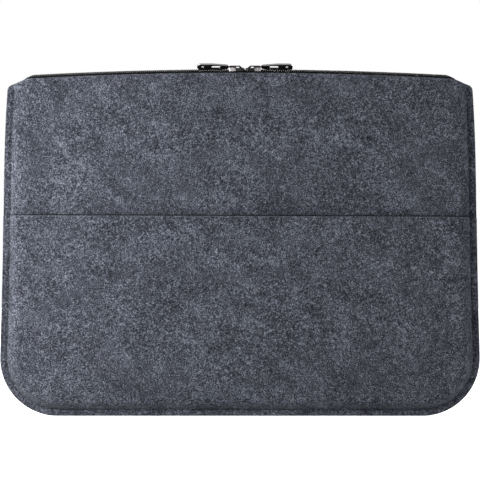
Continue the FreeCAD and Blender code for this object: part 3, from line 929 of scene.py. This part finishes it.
def makeCoil(word, side, coiler):
    look = coilLook
    turns = round(2 * zipPath["coilEnd"] / look["pitch"])
    coil = coiler.grow(
        lineObject("coil guide", [(0, 0, 0), (0, 0, 0.001)]), f"zip_coil_wound_{word}",
        Side=float(side), Phase=0.0 if side < 0 else 0.5, Pitch=look["pitch"], Turns=float(turns),
        Points=turns * look["pointsPerTurn"] + 1, Wire=look["wire"], Inner=look["inner"],
        Outer=look["outer"], Rise=look["halfHeight"], Squareness=look["squareness"],
        Bow=zipPath["bow"], Middle=zipPath["middle"], Height=zipPath["height"],
        BendStart=zipPath["bendStart"], Bend=zipPath["bend"], Material=nylonFinish,
    )
    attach(coil, "sleeve")
    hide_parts(f"zip_coil_{word}")


sides = (("front", -1), ("back", 1))
coiler = makeCoiler()
for word, side in sides:
    makeCoil(word, side, coiler)
print("coils wound")


# points along the side and bottom seam, on the face whose y is given by a function of (x, z)
def seamPath(inset, faceY):
    outline = rightHalf(mouthZ, sleeve["earRounding"], outlineLook["fineGap"])
    start = len(outline)
    half = []
    for k in range(1, start - 1):
        ahead = (outline[k + 1] - outline[k - 1]).normalized()
        q = outline[k] + Vector((-ahead.y, ahead.x)) * inset
        if abs(seamInset(q.x, q.y) - inset) < 1e-4 and mouthZ(q.x) - q.y > stitchLook["edgeEnd"]:
            half.append(q)
    points = [Vector((-q.x, q.y)) for q in reversed(half)] + half
    return [Vector((q.x, faceY(q.x, q.y), q.y)) for q in points]


def needleFace(x, z):
    layers = 2 if z < pocketZ(x) else 1
    return halfFelt - layers * sleeve["feltThickness"] + feltShape["pinch"] - stitchLook["edgeSink"]


def bobbinFace(x, z):
    return halfFelt + sleeve["feltThickness"] - feltShape["pinch"] + stitchLook["edgeSink"]


# the y of a zip-side panel's outer face
def panelFace(x, z, side):
    layer = 1 if side < 0 else 2
    return halfFelt + side * (sleeve["feltThickness"] + feltRise(x, z, cavity, layer))


def zipSeamPath(side):
    look = stitchLook
    points = []
    for k in range(-look["zipSteps"], look["zipSteps"] + 1):
        base = onZip(k / look["zipSteps"] * look["zipReach"], 0, -look["zipDrop"])
        points.append(Vector((base.x, panelFace(base.x, base.z, side) - side * look["zipSink"], base.z)))
    return points


def stitch(stitcher, name, points, nodes, slot, finish, pitch, length, thickness, turn=0.0, seed=1):
    made = stitcher.grow(
        lineObject(name + " guide", points), name,
        Pitch=pitch, Length=length, Thickness=thickness, Turn=turn, Seed=seed, Material=finish,
        Thinnest=stitchLook["thinnest"], Thickest=stitchLook["thickest"],
    )
    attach(made, "sleeve")
    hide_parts(*nodes)


def makeStitches(stitcher):
    look = stitchLook
    edge = (look["edgePitch"], look["edgeLength"], look["edgeThickness"])
    for word, face, thread, seed in (("front", needleFace, "needle", 3), ("back", bobbinFace, "bobbin", 4)):
        stitch(
            stitcher, f"edge_stitches_{word}", seamPath(feltShape["seam"], face),
            [f"edge_seam_{thread}_thread"], "felt_thread", feltThread, *edge, seed=seed,
        )
    steps = look["rowSteps"]
    for word, side in sides:
        stitch(
            stitcher, f"zip_stitches_{word}", zipSeamPath(side), [f"zip_seam_thread_{word}"],
            "felt_thread", feltThread, look["zipPitch"], look["zipLength"], look["zipThickness"], seed=5,
        )
        place = (side * look["rowAcross"], -look["rowDrop"], look["rowBend"])
        row = [bentZip(k / steps * look["rowReach"], *place) for k in range(-steps, steps + 1)]
        stitch(
            stitcher, f"coil_stitches_{word}", row, [f"zip_coil_stitching_{word}"],
            "zip_thread", blackThread, look["rowPitch"], look["rowLength"], look["rowThickness"], seed=6,
        )


# bar tacks of close stitches that dive into the ears
def makeEndTacks(stitcher):
    look = stitchLook
    for word, side in (("left", -1), ("right", 1)):
        slope = look["tackSlope"]
        along = Vector((side * math.cos(slope), 0, -math.sin(slope)))
        outwards = Vector((side * math.sin(slope), 0, math.cos(slope)))
        for row in range(-1, 2):
            middle = bentZip(side * look["tackPlace"], 0, 0) + outwards * row * look["tackRowGap"]
            ends = [middle - along * look["tackHalf"], middle + along * look["tackHalf"]]
            stitch(
                stitcher, f"zip_tack_{word}_{row + 2}", ends, [f"zip_end_tack_{word}"],
                "zip_thread", blackThread, look["tackPitch"], look["tackWidth"], look["tackThickness"],
                turn=math.pi / 2, seed=8 + row,
            )


stitcher = makeStitcher()
makeStitches(stitcher)
makeEndTacks(stitcher)
print("stitches sewn")

for word in ("front", "back"):
    tape = bpy.data.objects[f"zip_tape_{word}"]
    tape.data.materials.clear()
    tape.data.materials.append(tapeFinish)


cordLook = {"reach": 0.1676, "across": 0.00155, "radius": 0.00045, "steps": 90}


# the filler cord inside a coil, bent down with it at both ends
def makeCord(word, side):
    steps = cordLook["steps"]
    shares = [k / steps for k in range(-steps, steps + 1)]
    route = [bentZip(share * cordLook["reach"], side * cordLook["across"], 0) for share in shares]
    cord = dressed(wireMesh(f"filler_cord_{word}", route, cordLook["radius"]), blackThread)
    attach(cord, "sleeve")
    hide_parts(f"zip_coil_cord_{word}")


# how much painted highlight, coloured as bare metal, a point takes, from 0 to 1, by how squarely it faces
# the way that ends up on top
def highlightShare(facing, gain, least):
    return min(1, max(0, facing * gain - least))


# marks each point of a coated piece with its share of painted highlight, coloured as bare metal
def paintHighlight(work, picks):
    work.normal_update()
    layer = work.verts.layers.float.new("bare")
    for point in work.verts:
        point[layer] = picks(point)


# the mesh that bmesh has been working on
def asPlain(work, name):
    mesh = bpy.data.meshes.new(name)
    work.to_mesh(mesh)
    work.free()
    return mesh


# a copy of a CAD piece with its hard edges rounded
def softened(node, name, finish):
    look = sliderLook
    work = bmesh.new()
    work.from_mesh(bpy.data.objects[node].data)
    bmesh.ops.remove_doubles(work, verts=work.verts, dist=1e-6)
    bmesh.ops.dissolve_limit(work, angle_limit=math.radians(1), verts=work.verts, edges=work.edges)
    sharp = [e for e in work.edges if len(e.link_faces) == 2 and e.calc_face_angle(0) > math.radians(25)]
    bmesh.ops.bevel(
        work, geom=sharp, offset=look["rounding"], segments=3,
        affect="EDGES", profile=0.5, clamp_overlap=True,
    )
    bmesh.ops.recalc_face_normals(work, faces=work.faces)
    # painted highlight: up-facing points near the top take grey metal
    top = max(point.co.z for point in work.verts) - look["highlightDepth"]
    upFacing, most = look["highlightFacing"], look["highlightStrength"]
    paintHighlight(work, lambda p: highlightShare(p.normal.z, *upFacing) * most if p.co.z > top else 0)
    made = dressed(asPlain(work, name), finish)
    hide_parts(node)
    return made


tabLook = {
    "start": 0.0060,
    "end": 0.0304,
    "rootHalf": 0.0021,
    "tipHalf": 0.0035,
    "tipRounding": 0.0028,
    "middleRounding": 0.9,  # of the tip's
    "rootRounding": 0.25,
    "thickness": 0.0015,
    "edge": 0.00045,
    "roll": math.radians(38),
    "side": 0.0014,
    "rise": 0.0006,
    "barRise": 0.0025,
    "barSetBack": 0.0006,
    "holeRadius": 0.0010,
    "holeAt": 0.0259,
    "slot": (0.0124, 0.0189),
    "slotHalf": 0.0013,
    "slotRounding": 0.8,  # of its half width
    "wire": 0.0008,
    "eyeHalf": 0.00185,
    "eyeStraight": 0.00605,  # from the bar to where the eye's sides turn in
    "eyeBend": 0.0007,
    "highlightFrom": 0.0016,  # painted highlight: the tab's upper long edge, outside its hole and slot, takes grey metal
    "highlightFacing": (3, 1.2),
}


# a closed outline with its corners rounded
def rounded(corners, radius, steps=8):
    points = []
    count = len(corners)
    for k, (x, y, share) in enumerate(corners):
        before = Vector(corners[k - 1][:2])
        after = Vector(corners[(k + 1) % count][:2])
        points += roundCorner(before, Vector((x, y)), after, radius * share, steps)
    return points


# a plate from closed loops, the first its outline and the others its holes, with rounded edges
def flatPlate(name, loops, thickness, edge):
    curve = bpy.data.curves.new(name, "CURVE")
    curve.dimensions = "2D"
    curve.fill_mode = "BOTH"
    curve.extrude = thickness / 2 - edge
    curve.bevel_depth = edge
    curve.bevel_resolution = 4
    for loop in loops:
        addSpline(curve, [(x, y, 0) for x, y in loop]).use_cyclic_u = True
    return asMesh(curve)


def asMesh(curve):
    thing = addObject(curve.name, curve)
    bpy.context.view_layer.update()
    mesh = bpy.data.meshes.new_from_object(thing.evaluated_get(bpy.context.evaluated_depsgraph_get()))
    bpy.data.objects.remove(thing)
    return mesh


# a round wire through the route, with its corners bent
def bentWire(name, route, radius, bend):
    points = [route[0]]
    for before, corner, after in zip(route, route[1:], route[2:]):
        a = corner + (before - corner).normalized() * bend
        b = corner + (after - corner).normalized() * bend
        points += [a.lerp(corner, t).lerp(corner.lerp(b, t), t) for t in [k / 6 for k in range(7)]]
    points.append(route[-1])
    return wireMesh(name, points, radius)


def wireMesh(name, points, radius):
    curve = bpy.data.curves.new(name, "CURVE")
    curve.dimensions = "3D"
    curve.bevel_depth = radius
    curve.bevel_resolution = 4
    curve.use_fill_caps = True
    addSpline(curve, points)
    return asMesh(curve)


def tabLoops():
    t = tabLook
    e = t["edge"]
    root, tip = t["rootHalf"] - e, t["tipHalf"] - e
    start, end = t["start"] + e, t["end"] - e
    wide = (t["start"] + t["end"]) / 2
    outline = rounded([
        (start, -root, t["rootRounding"]), (wide, -tip, t["middleRounding"]), (end, -tip, 1),
        (end, tip, 1), (wide, tip, t["middleRounding"]), (start, root, t["rootRounding"]),
    ], t["tipRounding"])
    radius = t["holeRadius"] + e
    turns = [2 * math.pi * k / 28 for k in range(28)]
    circle = [(t["holeAt"] + radius * math.cos(a), radius * math.sin(a)) for a in turns]
    low, high = t["slot"][0] - e, t["slot"][1] + e
    half = t["slotHalf"] + e
    corners = [(low, -half, 1), (high, -half, 1), (high, half, 1), (low, half, 1)]
    return [outline, circle, rounded(corners, t["slotHalf"] * t["slotRounding"])]


# one bmesh of the meshes, its doubled points merged and its faces turned outwards
def merged(*meshes):
    work = bmesh.new()
    for mesh in meshes:
        work.from_mesh(mesh)
    bmesh.ops.remove_doubles(work, verts=work.verts, dist=1e-6)
    bmesh.ops.recalc_face_normals(work, faces=work.faces)
    return work


# a tapered tab with a round hole, a slot and a wire eye, lying along the zip
def makePull(word, away):
    t = tabLook
    tab = flatPlate(f"tab {word}", tabLoops(), t["thickness"], t["edge"])
    edges = merged(tab)
    # painted highlight: the long edge that the roll turns upwards takes grey metal
    paintHighlight(edges, lambda p: highlightShare(-p.normal.y, *t["highlightFacing"]) if p.co.y < -t["highlightFrom"] else 0)
    edges.to_mesh(tab)
    edges.free()
    tab.transform(
        Matrix.Translation((0, t["side"], t["rise"])) @ Matrix.Rotation(-t["roll"], 4, "X")
        @ Matrix.Scale(away, 4, (1, 0, 0))
    )
    corner = t["rootHalf"] - t["wire"] / 2
    root = t["start"] + t["wire"]
    straight = t["eyeStraight"] - t["barSetBack"] - t["wire"] / 4
    lift = corner * math.sin(t["roll"])
    reach = corner * math.cos(t["roll"])
    route = [
        Vector((root, t["side"] - reach, t["rise"] + lift)), Vector((straight, -t["eyeHalf"], t["rise"])),
        Vector((0, -t["eyeHalf"], 0)), Vector((0, t["eyeHalf"], 0)),
        Vector((straight, t["eyeHalf"], t["rise"])), Vector((root, t["side"] + reach, t["rise"] - lift)),
    ]
    route = [Vector((away * p.x, p.y, p.z)) for p in route]
    eye = bentWire(f"eye {word}", route, t["wire"] / 2, t["eyeBend"])
    work = merged(tab, eye)
    bar = Matrix.Translation((away * t["barSetBack"], 0, t["barRise"]))
    bmesh.ops.transform(work, matrix=zipFrame(sliderLook["places"][word]) @ bar, verts=work.verts)
    made = dressed(asPlain(work, f"pull_tab_{word}"), blackMetal)
    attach(made, f"{word}_pull")
    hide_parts(f"pull_{word}")


for word, side in sides:
    makeCord(word, side)
for word, away in (("left", -1), ("right", 1)):
    slider = softened(f"slider_{word}", f"slider_body_{word}", makeSliderFinish(word, away))
    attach(slider, f"{word}_slider")
    makePull(word, away)
print("sliders and pulls made")


studio = {
    "surround": 1.0,
    "lights": {  # place, size, power and what the light points at
        "key": ((-0.56, -0.34, 0.27), 0.35, 23, (-0.05, 0, 0.14)),
        "back fill": ((0.9, 0.95, 0.55), 0.7, 36, (0, 0, 0.14)),
        "side fill": ((0.62, -0.16, 0.16), 0.3, 2.5, (0.18, 0, 0.13)),
    },
    "floor": 0.50,
    "floorMottle": 0.01,
    "floorGlow": 1.0,
    "floorHalf": 4,
    "cameraDistance": 2.5,
    "frameWidth": 0.3744,
    "facePlane": -0.0045,
    "cameraHeight": 0.13728,
    "sensor": 36,
    "clipEnd": 50,
}


def makeStudio():
    pale = Finish("pale floor", **{
        "Roughness": 0.9, "Emission Color": (1, 1, 1, 1), "Emission Strength": studio["floorGlow"],
    })
    dark = studio["floor"] - studio["floorMottle"]
    tones = [(0.3, (dark,) * 3), (0.7, (studio["floor"],) * 3)]
    pale.shade(Base_Color=pale.colour(pale.cloud(3, 2.0), tones))
    h = studio["floorHalf"]
    corners = [(-h, -h, 0), (h, -h, 0), (h, h, 0), (-h, h, 0)]
    floor = makeObject("floor", corners, [(0, 1, 2, 3)], pale.material, False)
    world = bpy.data.worlds.new("studio")
    world.use_nodes = True
    world.node_tree.nodes["Background"].inputs[0].default_value = (1, 1, 1, 1)
    world.node_tree.nodes["Background"].inputs[1].default_value = studio["surround"]
    bpy.context.scene.world = world
    for name, facts in studio["lights"].items():
        makeLight(name, *facts)


def makeLight(name, place, size, power, target):
    light = bpy.data.lights.new(name, "AREA")
    light.energy = power
    light.size = size
    lamp = addObject(name, light)
    lamp.location = place
    lamp.rotation_mode = "QUATERNION"
    lamp.rotation_quaternion = (Vector(target) - Vector(place)).to_track_quat("-Z", "Y")


def makeCamera():
    lens = bpy.data.cameras.new("camera")
    lens.sensor_width = studio["sensor"]
    lens.lens = studio["sensor"] * studio["cameraDistance"] / studio["frameWidth"]
    lens.clip_end = studio["clipEnd"]
    camera = addObject("camera", lens)
    camera.location = (0, studio["facePlane"] - studio["cameraDistance"], studio["cameraHeight"])
    camera.rotation_euler = (math.pi / 2, 0, 0)
    bpy.context.scene.camera = camera
    bpy.context.scene.view_settings.view_transform = "Standard"


makeStudio()
makeCamera()
print("studio ready")
